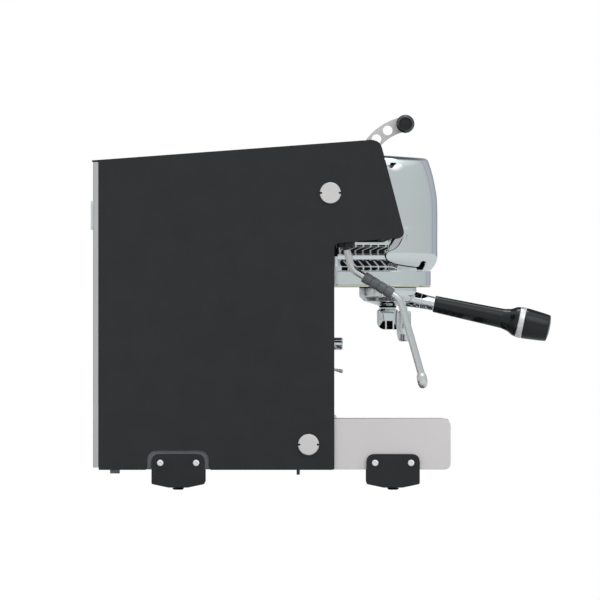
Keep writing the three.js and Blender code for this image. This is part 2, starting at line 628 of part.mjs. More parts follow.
// ---- controls ----
function controls() {
  const button = turned([
    [0, 0], [BUTTON.r - 1.2, 0], [BUTTON.r, 1.2], [BUTTON.r, 17], [0, 17],
  ], 16).rotate([-90, 0, 0]).translate([CONTROL_X, BUTTON.front, BUTTON.z]);
  add("brew_button", button, "steel");
  const bat = turned([
    [0, -8], [2, -8], [2, -1], [1.3, 0], [1.9, 6], [2.2, 8.6], [1.6, 9.8], [0, 9.8],
  ], 14).rotate([104, 0, 0]).translate([CONTROL_X, TOGGLE.y, TOGGLE.z]);
  add("hot_water_toggle", bat, "steel");
}

// ---- inside ----
const TANK = { half: 95, front: 148, rear: 236 };

function internals() {
  const tank = cut(
    prism("z", outline([
      [-TANK.half + 4, TANK.front + 4, 8], [TANK.half - 4, TANK.front + 4, 8],
      [TANK.half - 4, TANK.rear - 4, 8], [-TANK.half + 4, TANK.rear - 4, 8],
    ]), 60, 355, 3),
    box([-TANK.half + 7, TANK.front + 7, 63], [TANK.half - 7, TANK.rear - 7, 360]),
  );
  add("water_tank", tank, "clear_tank");
  const vessel = (r, half, dome) => turned([
    [0, -half], [r - 14, -half], [r, dome - half], [r, half - dome], [r - 14, half], [0, half],
  ], 24).rotate([0, 90, 0]);
  // a hollow vessel with an open filling port on top
  const shell = cut(vessel(44, 92, 8), vessel(41, 89, 7), rod(7, 30, 50, 16));
  add("boiler", shell.translate([0, 62, 272]), "copper");
  const pump = join(
    rod(22, -40, 18, 20).rotate([0, 90, 0]), rod(14, 17, 48, 16).rotate([0, 90, 0]),
    box([-36, -24, -32], [12, 24, -10]),
  ).translate([60, 90, 57.3]);
  add("pump", pump, "black_plastic");
  add("control_box", box([-130, 20, 90], [-30, 110, 190]), "grey_sheet");
}

sidePanels();
coinKnobs();
baseFrame();
topCover();
rearCover();
frontFascia();
frontWall();
undersideFittings();
feet();
dripTray();
groupHood();
groupBody();
portafilter();
steamLever();
steamWand();
hotWater();
controls();
internals();

export default machine;
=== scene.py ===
"""The looks of a single-group espresso machine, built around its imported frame. Lengths are in metres."""

import json
import math

import bmesh
import bpy
from mathutils import Matrix, Vector


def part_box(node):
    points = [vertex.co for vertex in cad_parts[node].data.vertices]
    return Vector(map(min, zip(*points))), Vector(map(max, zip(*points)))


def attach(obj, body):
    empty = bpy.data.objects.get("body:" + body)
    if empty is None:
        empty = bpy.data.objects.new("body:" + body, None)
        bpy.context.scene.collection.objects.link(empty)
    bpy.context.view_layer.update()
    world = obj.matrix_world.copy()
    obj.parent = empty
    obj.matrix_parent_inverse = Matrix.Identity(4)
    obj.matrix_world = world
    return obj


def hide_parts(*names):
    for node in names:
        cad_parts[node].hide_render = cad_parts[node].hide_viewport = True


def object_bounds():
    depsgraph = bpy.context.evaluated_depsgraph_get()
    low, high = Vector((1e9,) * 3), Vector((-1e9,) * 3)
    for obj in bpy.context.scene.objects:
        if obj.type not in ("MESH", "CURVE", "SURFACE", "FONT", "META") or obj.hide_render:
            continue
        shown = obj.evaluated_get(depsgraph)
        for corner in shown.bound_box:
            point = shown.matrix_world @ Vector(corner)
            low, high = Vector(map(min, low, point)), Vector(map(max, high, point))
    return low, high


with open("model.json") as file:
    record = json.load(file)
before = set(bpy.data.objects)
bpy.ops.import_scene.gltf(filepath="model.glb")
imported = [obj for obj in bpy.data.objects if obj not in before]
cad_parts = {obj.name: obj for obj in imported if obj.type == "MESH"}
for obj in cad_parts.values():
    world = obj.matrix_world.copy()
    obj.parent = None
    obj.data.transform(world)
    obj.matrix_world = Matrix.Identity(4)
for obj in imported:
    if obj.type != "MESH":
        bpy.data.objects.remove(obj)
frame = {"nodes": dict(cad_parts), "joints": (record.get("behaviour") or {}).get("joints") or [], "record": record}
CAD_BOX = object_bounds()

MM = 0.001
NODES = frame["nodes"]
SLOT_OF = {s["node"]: s["material_slot"] for s in frame["record"]["subparts"]}
BODY_OF = {n: b for b, members in frame["record"]["behaviour"]["bodies"].items() for n in members}
JOINT = {j["name"]: j for j in frame["joints"]}
ROUND = 96  # facets of a large round piece
ON_AXIS = 1e-6  # mm, a radius that counts as none


# ---- materials ----
class Nodes:
    """A material's node tree, with short calls for what the finishes below need."""

    def __init__(self, name, **sockets):  # a socket's name with _ for its spaces
        self.material = bpy.data.materials.new(name)
        self.material.use_nodes = True
        self.tree = self.material.node_tree
        self.shader = self.tree.nodes["Principled BSDF"]
        for label, value in sockets.items():
            self.shader.inputs[label.replace("_", " ")].default_value = value
        self.place = self.tree.nodes.new("ShaderNodeTexCoord").outputs["Object"]

    def stretched(self, scale):
        mapping = self.tree.nodes.new("ShaderNodeMapping")
        mapping.inputs["Scale"].default_value = scale
        self.tree.links.new(self.place, mapping.inputs["Vector"])
        return mapping.outputs["Vector"]

    def noise(self, scale, detail=3, stretch=None):
        noise = self.tree.nodes.new("ShaderNodeTexNoise")
        noise.inputs["Scale"].default_value = scale
        noise.inputs["Detail"].default_value = detail
        self.tree.links.new(self.stretched(stretch) if stretch else self.place, noise.inputs["Vector"])
        return noise.outputs["Fac"]

    def ramp(self, factor, low, high, start=0.35, end=0.65):
        ramp = self.tree.nodes.new("ShaderNodeValToRGB")
        first, last = ramp.color_ramp.elements
        first.position, last.position = start, end
        first.color, last.color = low, high
        self.tree.links.new(factor, ramp.inputs["Fac"])
        return ramp.outputs["Color"]

    def colour(self, factor, low, high):
        self.tree.links.new(self.ramp(factor, (*low, 1), (*high, 1)), self.shader.inputs["Base Color"])

    def roughness(self, factor, low, high):
        grey = self.ramp(factor, (low, low, low, 1), (high, high, high, 1))
        self.tree.links.new(grey, self.shader.inputs["Roughness"])

    def bump(self, factor, strength, distance):
        bump = self.tree.nodes.new("ShaderNodeBump")
        bump.inputs["Strength"].default_value = strength
        bump.inputs["Distance"].default_value = distance
        self.tree.links.new(factor, bump.inputs["Height"])
        self.tree.links.new(bump.outputs["Normal"], self.shader.inputs["Normal"])


def shade(colour, by):
    return tuple(channel * by for channel in colour)


def powder_coat(name, colour, roughness=(0.5, 0.6), grain=1800, depth=0.00003, gloss=0.5):
    """Fine orange-peel paint over sheet metal."""
    nodes = Nodes(name, Specular_IOR_Level=gloss)
    nodes.colour(nodes.noise(6, 4), shade(colour, 0.97), shade(colour, 1.03))
    nodes.roughness(nodes.noise(35, 5), *roughness)
    nodes.bump(nodes.noise(grain, 2), 0.25, depth)
    return nodes.material


def polished(name, colour, roughness=(0.012, 0.035)):
    """Chrome plate, with the faint smears of a handled surface."""
    nodes = Nodes(name, Metallic=1.0)
    nodes.colour(nodes.noise(9, 3), shade(colour, 0.98), shade(colour, 1.0))
    nodes.roughness(nodes.noise(28, 6), *roughness)
    return nodes.material


def brushed(name, colour, along, roughness=(0.2, 0.3), depth=0.00001, metallic=1.0):
    """Metal with fine lines that run along one axis."""
    nodes = Nodes(name, Metallic=metallic)
    stretch = tuple(1.0 if axis == along else 40.0 for axis in "xyz")
    lines = nodes.noise(60, 4, stretch)
    nodes.colour(lines, shade(colour, 0.965), shade(colour, 1.0))
    nodes.roughness(lines, *roughness)
    nodes.bump(lines, 0.15, depth)
    return nodes.material


def moulded(name, colour, roughness, grain=900, strength=0.12, depth=0.00004, gloss=0.5):
    """Injection-moulded plastic or rubber with a light spark texture."""
    nodes = Nodes(name, Specular_IOR_Level=gloss)
    nodes.colour(nodes.noise(14, 4), shade(colour, 0.9), shade(colour, 1.1))
    nodes.roughness(nodes.noise(60, 4), *roughness)
    nodes.bump(nodes.noise(grain, 3), strength, depth)
    return nodes.material


def tank_plastic():
    nodes = Nodes("clear_tank", Transmission_Weight=0.75, IOR=1.46)
    nodes.colour(nodes.noise(12, 3), (0.62, 0.74, 0.8), (0.7, 0.8, 0.86))
    nodes.roughness(nodes.noise(40, 3), 0.18, 0.3)
    return nodes.material


FINISH = {
    "black_sheet": powder_coat("black_sheet", (0.0185, 0.0198, 0.0206), (0.68, 0.76), gloss=0.35),
    "grey_sheet": powder_coat("grey_sheet", (0.616, 0.585, 0.585)),
    "rear_sheet": powder_coat("rear_sheet", (0.42, 0.425, 0.425)),
    "knob_metal": brushed("knob_metal", (0.967, 0.895, 0.89), "y", (0.3, 0.4)),
    "chrome": polished("chrome", (0.84, 0.86, 0.86)),
    "steel": brushed("steel", (0.88, 0.855, 0.85), "z", (0.22, 0.32)),
    "lever_plate": powder_coat("lever_plate", (0.66, 0.64, 0.64), (0.4, 0.5), depth=0.00001),
    "black_plastic": moulded("black_plastic", (0.0085, 0.0092, 0.0098), (0.07, 0.11), gloss=0.4),
    "foot_black": moulded("foot_black", (0.0125, 0.0125, 0.0145), (0.5, 0.62), 1400, 0.25, gloss=0.4),
    "black_rubber": moulded("black_rubber", (0.006, 0.006, 0.006), (0.75, 0.9), strength=0.3, gloss=0.25),
    "grey_rubber": moulded("grey_rubber", (0.1, 0.108, 0.112), (0.18, 0.28), strength=0.15),
    "clear_tank": tank_plastic(),
    "copper": brushed("copper", (0.72, 0.42, 0.28), "x", (0.3, 0.5)),
    "brass": brushed("brass", (0.7, 0.52, 0.26), "y", (0.25, 0.4)),
}
TUBE_STEEL = brushed("tube_steel", (0.8, 0.79, 0.785), "z", (0.16, 0.24))
STEEL_POLISHED = brushed("steel_polished", (0.88, 0.85, 0.83), "z", (0.12, 0.2))
# a darker, lilac copy of the chrome: painted reflection of the lilac tone the lip shows
LIP_CHROME_PAINTED_REFLECTION = polished("lip_chrome_painted_reflection", (0.68, 0.665, 0.71))
PALE_BRASS = polished("pale_brass", (0.9, 0.84, 0.68))
RING_STEEL = brushed("ring_steel", (0.76, 0.755, 0.745), "y", (0.25, 0.35), metallic=0.55)
# a paler copy of the grey sheet paint for the rear plate, which sits in shade: painted light
PALE_PLATE_PAINTED_LIGHT = powder_coat("plate_painted_light", (1.0, 1.0, 1.0))
SCREW_STEEL = brushed("screw_steel", (0.85, 0.85, 0.85), "y", (0.3, 0.4), metallic=0.3)
# a dark grey: painted shade on the sheets behind the rear foot arches, and the vent pin's own colour
PAINTED_SHADE_AND_PIN_GREY = powder_coat("painted_shade_and_pin_grey", (0.125, 0.132, 0.14))
DRAIN_GREY = powder_coat("drain_grey", (0.25, 0.26, 0.265))
DARK_METAL = brushed("dark_metal", (0.13, 0.14, 0.14), "x", (0.3, 0.4))
SATIN_GRILLE = brushed("satin_grille", (0.72, 0.73, 0.74), "x", (0.35, 0.45), metallic=0.55)


# ---- mesh work ----
def extra(name, mesh, body, slot, sharp=30, material=None):
    """A piece that no CAD node has, smooth except at edges sharper than an angle in degrees.
    sharp=None keeps the mesh's own shading."""
    piece = bpy.data.objects.new(name, mesh)
    bpy.context.scene.collection.objects.link(piece)
    if sharp is not None:
        mesh.shade_smooth()
        mesh.set_sharp_from_angle(angle=math.radians(sharp))
    mesh.materials.clear()
    mesh.materials.append(material or FINISH[slot])
    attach(piece, body)
    return piece


def finished(name, mesh, node, sharp=30, material=None):
    """Stands a mesh for a CAD node: same body, same material slot."""
    piece = extra(name, mesh, BODY_OF[node], SLOT_OF[node], sharp, material)
    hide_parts(node)
    return piece


def to_mesh(name, bm):
    bmesh.ops.recalc_face_normals(bm, faces=bm.faces)
    mesh = bpy.data.meshes.new(name)
    bm.to_mesh(mesh)
    bm.free()
    return mesh


def modified(mesh, *steps):
    """The mesh after a list of (modifier type, settings)."""
    holder = bpy.data.objects.new("holder", mesh)
    bpy.context.scene.collection.objects.link(holder)
    for kind, settings in steps:
        modifier = holder.modifiers.new(kind.lower(), kind)
        for key, value in settings.items():
            setattr(modifier, key, value)
    graph = bpy.context.evaluated_depsgraph_get()
    result = bpy.data.meshes.new_from_object(holder.evaluated_get(graph))
    bpy.data.objects.remove(holder)
    return result


def bevelled(mesh, width, segments=3, angle=28):
    """Rounded edges that leave the flat faces between them looking flat."""
    mesh.shade_smooth()
    return modified(mesh, ("BEVEL", {
        "width": width, "segments": segments, "limit_method": "ANGLE", "angle_limit": math.radians(angle),
        "use_clamp_overlap": True, "miter_outer": "MITER_ARC",
    }), ("WEIGHTED_NORMAL", {"weight": 100, "keep_sharp": True}))


def refined(node, width=0.4 * MM, segments=3, material=None, whole=True):
    """The CAD shape of a node with its edges rounded over. whole=False leaves its flat faces in triangles."""
    bm = bmesh.new()
    bm.from_mesh(NODES[node].data)
    bmesh.ops.remove_doubles(bm, verts=bm.verts, dist=0.005 * MM)
    if whole:
        bmesh.ops.dissolve_limit(bm, angle_limit=math.radians(1), verts=bm.verts, edges=bm.edges)
    finished(f"{node}_shape", bevelled(to_mesh(node, bm), width, segments), node, None, material)


def filleted(profile, steps=5):
    """A profile of (a, b) or (a, b, radius) points with the named corners rounded."""
    points = []
    for i, corner in enumerate(profile):
        here = Vector(corner[:2])
        radius = corner[2] if len(corner) > 2 else 0
        if not radius:
            points.append(here)
            continue
        before = (Vector(profile[i - 1][:2]) - here).normalized()
        after = (Vector(profile[(i + 1) % len(profile)][:2]) - here).normalized()
        half = before.angle(after) / 2
        reach = radius / math.tan(half)
        centre = here + (before + after).normalized() * (radius / math.sin(half))
        start = here + before * reach - centre
        end = here + after * reach - centre
        for k in range(steps + 1):
            points.append(centre + Vector(start).slerp(end, k / steps).normalized() * radius)
    return points


def turned_bm(profile, facets=ROUND):
    """A profile of (radius, height[, fillet]) in mm turned round +Z. It starts and ends on the axis, or its
    last point joins its first."""
    bm = bmesh.new()
    rows = []
    for r, z in filleted(profile):
        if r < ON_AXIS:
            rows.append([bm.verts.new((0, 0, z * MM))])
        else:
            rows.append([
                bm.verts.new((r * MM * math.cos(a), r * MM * math.sin(a), z * MM))
                for a in (2 * math.pi * k / facets for k in range(facets))
            ])
    pairs = list(zip(rows, rows[1:]))
    if profile[0][0] > ON_AXIS:
        pairs.append((rows[-1], rows[0]))
    for low, high in pairs:
        for k in range(facets):
            loop = [row[j % len(row)] for row, j in ((low, k), (low, k + 1), (high, k + 1), (high, k))]
            unique = list(dict.fromkeys(loop))
            if len(unique) > 2:
                bm.faces.new(unique)
    return bm


def along(direction):
    """The turn that takes +Z to a direction."""
    return Vector(direction).to_track_quat("Z", "Y").to_matrix().to_4x4()


def aimed(bm, origin, direction):
    """A bmesh whose +Z is turned to a direction, then moved to an origin."""
    bmesh.ops.transform(bm, matrix=Matrix.Translation(origin) @ along(direction), verts=bm.verts)
    return bm


def shifted(bm, vector):
    bmesh.ops.translate(bm, vec=vector, verts=bm.verts)
    return bm


def turned(node, profile, origin, direction=(0, 0, 1), facets=ROUND, sharp=30, material=None):
    """A turned shape that stands for a node."""
    bm = aimed(turned_bm(profile, facets), origin, direction)
    finished(f"{node}_shape", to_mesh(node, bm), node, sharp, material)


def prism_bm(corners, axis, low, high, steps=6):
    """A filleted outline in mm between two distances along x, y or z. It is drawn in the other two axes."""
    place = {
        "x": lambda a, b, c: (c, a, b),
        "y": lambda a, b, c: (a, c, b),
        "z": lambda a, b, c: (a, b, c),
    }[axis]
    bm = bmesh.new()
    points = filleted(corners, steps)
    ends = [[bm.verts.new([v * MM for v in place(a, b, c)]) for a, b in points] for c in (low, high)]
    bm.faces.new(ends[0])
    bm.faces.new(list(reversed(ends[1])))
    count = len(points)
    for k in range(count):
        bm.faces.new((ends[0][k], ends[0][(k + 1) % count], ends[1][(k + 1) % count], ends[1][k]))
    return bm


def combined(mesh, cutters, operation="DIFFERENCE"):
    """A mesh with others cut from it or joined to it."""
    for cutter in cutters:
        tool = bpy.data.objects.new("cutter", cutter)
        bpy.context.scene.collection.objects.link(tool)
        mesh = modified(mesh, ("BOOLEAN", {"operation": operation, "solver": "EXACT", "object": tool}))
        bpy.data.objects.remove(tool)
    return mesh


def tube_mesh(path, radius, facets=32):
    """A round tube through (x, y, z) points in mm, with rounded ends."""
    path = [Vector(point) for point in path]
    round_over = radius * 0.15
    bm = bmesh.new()
    rings = []
    side = None
    for i, point in enumerate(path):
        ahead = (path[min(i + 1, len(path) - 1)] - path[max(i - 1, 0)]).normalized()
        side = ahead.orthogonal() if side is None else side - ahead * side.dot(ahead)
        side.normalize()
        up = ahead.cross(side)
        ends = [(0, radius)]
        if i == 0:
            ends = [(0, radius - round_over), (round_over, radius)]
        if i == len(path) - 1:
            ends = [(-round_over, radius), (0, radius - round_over)]
        for shift, r in ends:
            rings.append([
                bm.verts.new((point + ahead * shift + (side * math.cos(a) + up * math.sin(a)) * r) * MM)
                for a in (2 * math.pi * k / facets for k in range(facets))
            ])
    for low, high in zip(rings, rings[1:]):
        for k in range(facets):
            bm.faces.new((low[k], low[(k + 1) % facets], high[(k + 1) % facets], high[k]))
    bm.faces.new(rings[0])
    bm.faces.new(rings[-1])
    return to_mesh("tube", bm)


def swept(node, points, radius):
    """A round tube for a node through (x, y, z[, bend]) points in mm, its bends as true arcs."""
    steps = 14
    path = []
    for i, point in enumerate(points):
        here = Vector(point[:3])
        bend = point[3] if len(point) > 3 else 0
        if not bend:
            path.append(here)
            continue
        before = (Vector(points[i - 1][:3]) - here).normalized()
        after = (Vector(points[i + 1][:3]) - here).normalized()
        half = before.angle(after) / 2
        centre = here + (before + after).normalized() * (bend / math.sin(half))
        reach = bend / math.tan(half)
        start, end = here + before * reach - centre, here + after * reach - centre
        for k in range(steps + 1):
            path.append(centre + start.slerp(end, k / steps).normalized() * bend)
    finished(f"{node}_shape", tube_mesh(path, radius), node, 40, TUBE_STEEL)


def centre(node):
    low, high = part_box(node)
    return (Vector(low) + Vector(high)) / 2


def box_mm(node):
    low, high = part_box(node)
    return Vector(low) / MM, Vector(high) / MM


# ---- casing, base, tray and inside ----
def sheet_work():
    for node in ("left_side_panel", "right_side_panel"):
        refined(node, 0.6 * MM)
    for node in ("top_cover", "tank_lid", "front_fascia", "front_wall"):
        refined(node, 0.25 * MM, 2)
    refined("rear_cover", 0.25 * MM, 2, whole=False)
    # the rear plate gets the paler paint so that it reads light in its shade: painted light
    refined("rear_plate", 0.6 * MM, material=PALE_PLATE_PAINTED_LIGHT)
    refined("base_frame", 0.5 * MM)
    refined("drip_tray", 0.5 * MM)
    drip_grille()
    refined("drain_fitting", 0.5 * MM, material=DRAIN_GREY)
    for node in ("water_tank", "control_box", "pump", "steam_valve"):
        refined(node, 0.5 * MM)


def clipped(corners, limit):
    """The part of an outline whose second coordinate is below a limit."""
    kept = []
    for (x1, y1), (x2, y2) in zip(corners, corners[1:] + corners[:1]):
        if y1 <= limit:
            kept.append((x1, y1))
        if (y1 < limit) != (y2 < limit):
            kept.append((x1 + (x2 - x1) * (limit - y1) / (y2 - y1), limit))
    return kept


def drip_grille():
    """A plate with rows of slots that run straight out from the middle, then lean forward."""
    low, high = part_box("drip_grille")
    left, front, under = (v / MM for v in low)
    right, back, top = (v / MM for v in high)
    plate = prism_bm([(left, front), (right, front), (right, back), (left, back)], "z", under, top)
    pitch, wide, lean, rim = 8.3, 6.7, 9, 3
    slots = bmesh.new()
    y = front + lean + rim
    while y - lean + wide / 2 < back - rim:
        near, far = y - lean, y - lean + wide
        long_slot = [(3, y), (60, y), (105, near), (105, far), (60, y + wide), (3, y + wide)]
        short_slot = [(109, near), (right - 8, near), (right - 8, far), (109, far)]
        for corners in (long_slot, short_slot):
            inside = clipped(corners, back - rim)
            for side in (-1, 1) if len(inside) > 2 else ():
                slot = prism_bm([(side * a, b) for a, b in inside], "z", under - rim, top + rim)
                slots.from_mesh(to_mesh("slot", slot))
        y += pitch
    mesh = combined(to_mesh("drip_grille", plate), [to_mesh("slots", slots)])
    finished("drip_grille_shape", bevelled(mesh, 0.3 * MM, 2), "drip_grille", None, SATIN_GRILLE)


def round_work_inside():
    low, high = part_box("boiler")
    half = (high[0] - low[0]) / 2 / MM
    turned("boiler", [
        (0, -half), (30, -half, 8), (44, -half + 8, 6), (44, half - 8, 6), (30, half, 8), (0, half),
    ], centre("boiler"), (1, 0, 0))
    low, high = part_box("group_gasket")
    half = (high[2] - low[2]) / 2 / MM
    turned("group_gasket", [(28.4, -half, 0.8), (35.4, -half, 0.8), (35.4, half, 0.8), (28.4, half, 0.8)],
           centre("group_gasket"))
    turned("shower_screen", [(0, -1.6), (26, -1.6, 1), (27.6, -0.6, 0.4), (27.6, 1.6), (0, 1.6)],
           centre("shower_screen"))


# ---- knobs and feet ----
def coin_knobs():
    for name, out in (("left", -1), ("right", 1)):
        for place in ("upper", "lower"):
            node = f"{name}_{place}_coin_knob"
            low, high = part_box(node)
            face = low[0] if out < 0 else high[0]
            origin = Vector((face, *centre(node)[1:]))
            bm = turned_bm([
                (0, -5.6), (4.5, -5.6), (4.5, -2.5), (11.7, -2.5, 0.3), (11.7, -0.7, 0.25), (11, 0, 0.3),
                (0, 0),
            ])
            notches = []
            for side in (-1, 1):
                notch = [(side * 14, -1.1), (side * 14, 1.1), (side * 9, 1.1, 1), (side * 9, -1.1, 1)]
                notches.append(to_mesh("notch", prism_bm(notch, "z", -3, 1)))
            mesh = combined(to_mesh(node, bm), notches)
            mesh.transform(Matrix.Translation(origin) @ along((out, 0, 0)))
            finished(f"{node}_shape", mesh, node)


def feet():
    for end in ("front", "rear"):
        for name, out in (("left", -1), ("right", 1)):
            refined(f"{end}_{name}_foot", 0.6 * MM)
            foot_pad(f"{end}_{name}_foot_pad")
            for label in "ab":
                foot_screw(f"{end}_{name}_screw_{label}", out)
    # the shade that falls on the base behind a rear foot's arch in the side panel is painted on a dark grey sheet:
    # painted shade
    _, (panel_inside, _, _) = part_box("left_side_panel")
    rear = centre("rear_left_foot").y / MM
    for name, side in (("left", 1), ("right", -1)):
        near, far = sorted((side * (panel_inside / MM + 0.05), side * (panel_inside / MM + 0.25)))
        arch = [(rear - 37, 22.6), (rear + 37, 22.6), (rear + 37, 48, 8), (rear - 37, 48, 8)]
        painted_shade_plate = to_mesh("painted_shade_plate", prism_bm(arch, "x", near, far))
        extra(f"rear_{name}_arch_painted_shade", painted_shade_plate, BODY_OF["base_frame"], "foot_black", material=PAINTED_SHADE_AND_PIN_GREY)


def foot_pad(node):
    low, high = box_mm(node)
    y = (low.y + high.y) / 2
    pad = prism_bm([
        (y - 6.3, high.z), (y + 6.3, high.z), (y + 6.2, 1.2, 0.5), (y + 4.6, 0, 1.5), (y - 4.6, 0, 1.5),
        (y - 6.2, 1.2, 0.5),
    ], "x", low.x, high.x)
    finished(f"{node}_shape", bevelled(to_mesh("pad", pad), 0.5 * MM), node, None)


def foot_screw(node, out):
    """A domed screw head that faces out, and a black ring round it that is painted shadow of its countersink."""
    low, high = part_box(node)
    face = high[0] if out < 0 else low[0]
    origin = (face, *centre(node)[1:])
    # a black ring round the head: painted shadow of the countersink
    shadow_ring = to_mesh("shadow_ring", turned_bm([(3.65, 0.05), (4.3, 0.05), (4.3, 0.3, 0.1), (3.65, 0.3, 0.1)], 48))
    shadow_ring.transform(Matrix.Translation(origin) @ along((out, 0, 0)))
    extra(f"{node}_seat", shadow_ring, BODY_OF[node], "black_rubber")
    turned(node, [
        (0, 0), (3.6, 0), (3.6, 0.5, 0.2), (3.1, 1.2, 0.5), (2.2, 1.8, 0.3), (1.6, 1.8, 0.2), (1.3, 0.7),
        (0, 0.6),
    ], origin, (out, 0, 0), 48, material=SCREW_STEEL)


# ---- brew group ----
GROUP_AXIS = centre("shower_screen")
HOOD_TOP = 365.3  # mm


def racetrack_bm(profile, back, facets=64, lift=None, caps=(True, True)):
    """Half-round in front of the group's axis and straight-sided behind it, for a profile of (half width,
    height) or (half width, height, reach forward). caps says whether its lowest and highest outlines are
    filled in, or "joined" to each other as a ring."""
    bm = bmesh.new()
    axis_y = GROUP_AXIS.y / MM
    columns = 8
    straight = [back + (axis_y - back) * k / columns for k in range(columns + 1)]
    turn = [math.pi * k / facets for k in range(1, facets)]
    rows = []
    for r, z, *reach in profile:
        ahead = reach[0] if reach else r
        plan = [(-r, y) for y in straight]
        plan += [(-r * math.cos(a), axis_y - ahead * math.sin(a)) for a in turn]
        plan += [(r, y) for y in reversed(straight)]
        rows.append([
            bm.verts.new((x * MM, y * MM, (z + (lift(y, z) if lift else 0)) * MM)) for x, y in plan
        ])
    for low, high in zip(rows, rows[1:] + (rows[:1] if caps == "joined" else [])):
        for k in range(len(low)):
            bm.faces.new((low[k - 1], low[k], high[k], high[k - 1]))
    for row, capped in zip((rows[0], rows[-1]), () if caps == "joined" else caps):
        if capped:
            bm.faces.new(row)
    return bm


def smooth_curve(points, steps=6):
    """A Catmull-Rom curve through a list of (a, b) points."""
    result = []
    for i in range(len(points) - 1):
        p0, p1, p2, p3 = (Vector(points[min(max(i + k, 0), len(points) - 1)]) for k in (-1, 0, 1, 2))
        for k in range(steps):
            t = k / steps
            result.append(0.5 * (2 * p1 + (p2 - p0) * t + (2 * p0 - 5 * p1 + 4 * p2 - p3) * t * t
                                 + (3 * p1 - p0 - 3 * p2 + p3) * t ** 3))
    result.append(Vector(points[-1]))
    return result


def hood_profile(shrink, low):
    """The hood's (half width, height, reach) in mm, from below its rim to its flat top, less a thickness."""
    taper = filleted([(47.9, low), (51.9, low + 5.2, 10), (54.8, 252.8, 16), (54.8, 262)], 8)
    side = smooth_curve([
        (54.8, 262), (54.8, 280), (54.8, 305.4), (54.2, 321), (52.5, 332.2), (49.8, 345.7), (45.8, 359.2),
    ])
    crown = filleted([(45.8, 359.2), (43.6, HOOD_TOP, 5.5), (20, HOOD_TOP)], 8)
    # its sides stay upright for longer than its front and turn over in a tighter curve
    sides = smooth_curve([
        (54.8, 290), (54.8, 325), (54.7, 341), (54.1, 349.5), (52.9, 355.2), (50.6, 359.3), (46.8, 362.5),
        (41.5, 364.6), (34, HOOD_TOP),
    ], 8)

    widens_from, curls_from, curl = 300, 340, 20

    def drawn_down(z):
        """How far the thickness lowers a point: nothing on the upright wall, all of it at the top."""
        return shrink * min(max((z - curls_from) / curl, 0), 1)

    def half_width(reach, z):
        if z <= widens_from:
            return reach
        place = z + drawn_down(z)
        for (w0, z0), (w1, z1) in zip(sides, sides[1:]):
            if z0 <= place <= z1 and z1 > z0:
                return w0 + (w1 - w0) * (place - z0) / (z1 - z0) - shrink
        return sides[-1][0] - shrink

    lowered = [(r - shrink, z - drawn_down(z)) for r, z in [*taper[:-1], *side, *crown[1:-1]]]
    if shrink:
        lowered = [(lowered[0][0], low - 10 - shrink), *lowered]
    return [(half_width(reach, z), z, reach) for reach, z in lowered]


def group_hood():
    """A shell with a flat, slightly sloping top, open at the back and swept up over the neck at its lower
    rear."""
    low, high = box_mm("group_hood")
    wall = 2.4
    rise = 0.07
    slopes_from = 335
    back = high.y + 12

    def lift(y, z):
        share = min(max((z - slopes_from) / (HOOD_TOP - slopes_from), 0), 1)
        return share * share * rise * (y - low.y - 14)

    face = fascia_line()
    rim = smooth_curve([
        (-91.2, 278.6), (-88.5, 274.6), (-85.5, 269), (-80.8, 264.8), (-75.4, 262.6), (-72.2, 260.2),
        (-71.4, 256), (-74.6, 251.7), (-81.6, 249), (-94, 246.7), (-105.5, 245.5), (-108.2, 247.6),
        (-109.6, 250.6), (-112.2, 252), (-114.3, 250.4), (-113.8, 246.6), (-110.6, 243.2), (-107, 241),
    ], 4)
    points = [(face(400), 400), (face(280), 280), *rim, (-106.5, 226), (10, 226), (10, 400)]
    outer = racetrack_bm(hood_profile(0, low.z), back, lift=lift)
    inner = racetrack_bm(hood_profile(wall, low.z), back + 5, lift=lift)
    behind = prism_bm(points, "x", -80, 80)
    hood = combined(to_mesh("outer", outer), [to_mesh("inner", inner), to_mesh("behind", behind)])
    finished("group_hood_shape", hood, "group_hood", 35)

    # a dark seal runs behind the rim on each side, and a dark band closes the notch
    for name, side in (("left", -1), ("right", 1)):
        line = [(side * hood_reach(y, z, 1.6), y + 0.5, z - 0.4) for y, z in rim[2:-6]]
        extra(f"hood_seal_{name}", tube_mesh(line, 0.75, 10), BODY_OF["group_hood"], "black_rubber")
    band = racetrack_bm([(44.7, low.z + 0.3), (44.7, low.z + 15)], -76, caps=(False, False))
    band = modified(to_mesh("band", band), ("SOLIDIFY", {"thickness": 0.8 * MM}))
    extra("hood_band", band, BODY_OF["group_hood"], "black_rubber")
    # a turned-in lip stands behind the lower rear corner
    lip = prism_bm([
        (-88, 282), (-80, 276.2, 8), (-74.4, 266.8, 8), (-72.9, 261.4, 1), (-76, 257), (-90, 259), (-96, 282),
    ], "x", -51, 51)
    lip = bevelled(to_mesh("lip", lip), 2.2 * MM, 5)
    # its chrome is darkened and tinted lilac: painted reflection
    extra("hood_lip", lip, BODY_OF["group_hood"], "chrome", None, LIP_CHROME_PAINTED_REFLECTION)


def hood_reach(y, z, inside):
    """How far from the middle the hood's wall is, less a depth, at a height below its straight part."""
    profile = hood_profile(0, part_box("group_hood")[0][2] / MM)
    radius = next((
        r0 + (r1 - r0) * (z - z0) / (z1 - z0)
        for (r0, z0, _), (r1, z1, _) in zip(profile, profile[1:]) if z0 <= z <= z1 and z1 > z0
    ), profile[0][0]) - inside
    ahead = max(GROUP_AXIS.y / MM - y, 0)
    return math.sqrt(max(radius ** 2 - ahead ** 2, 1))


def fascia_line():
    """The depth in mm of the sloping front just in front of the fascia, for a height in mm."""
    (_, nose_y, _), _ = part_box("front_fascia")
    nose_z, slope, gap = 277.5, 0.2625, 0.4
    return lambda z: nose_y / MM - gap + slope * (z - nose_z)


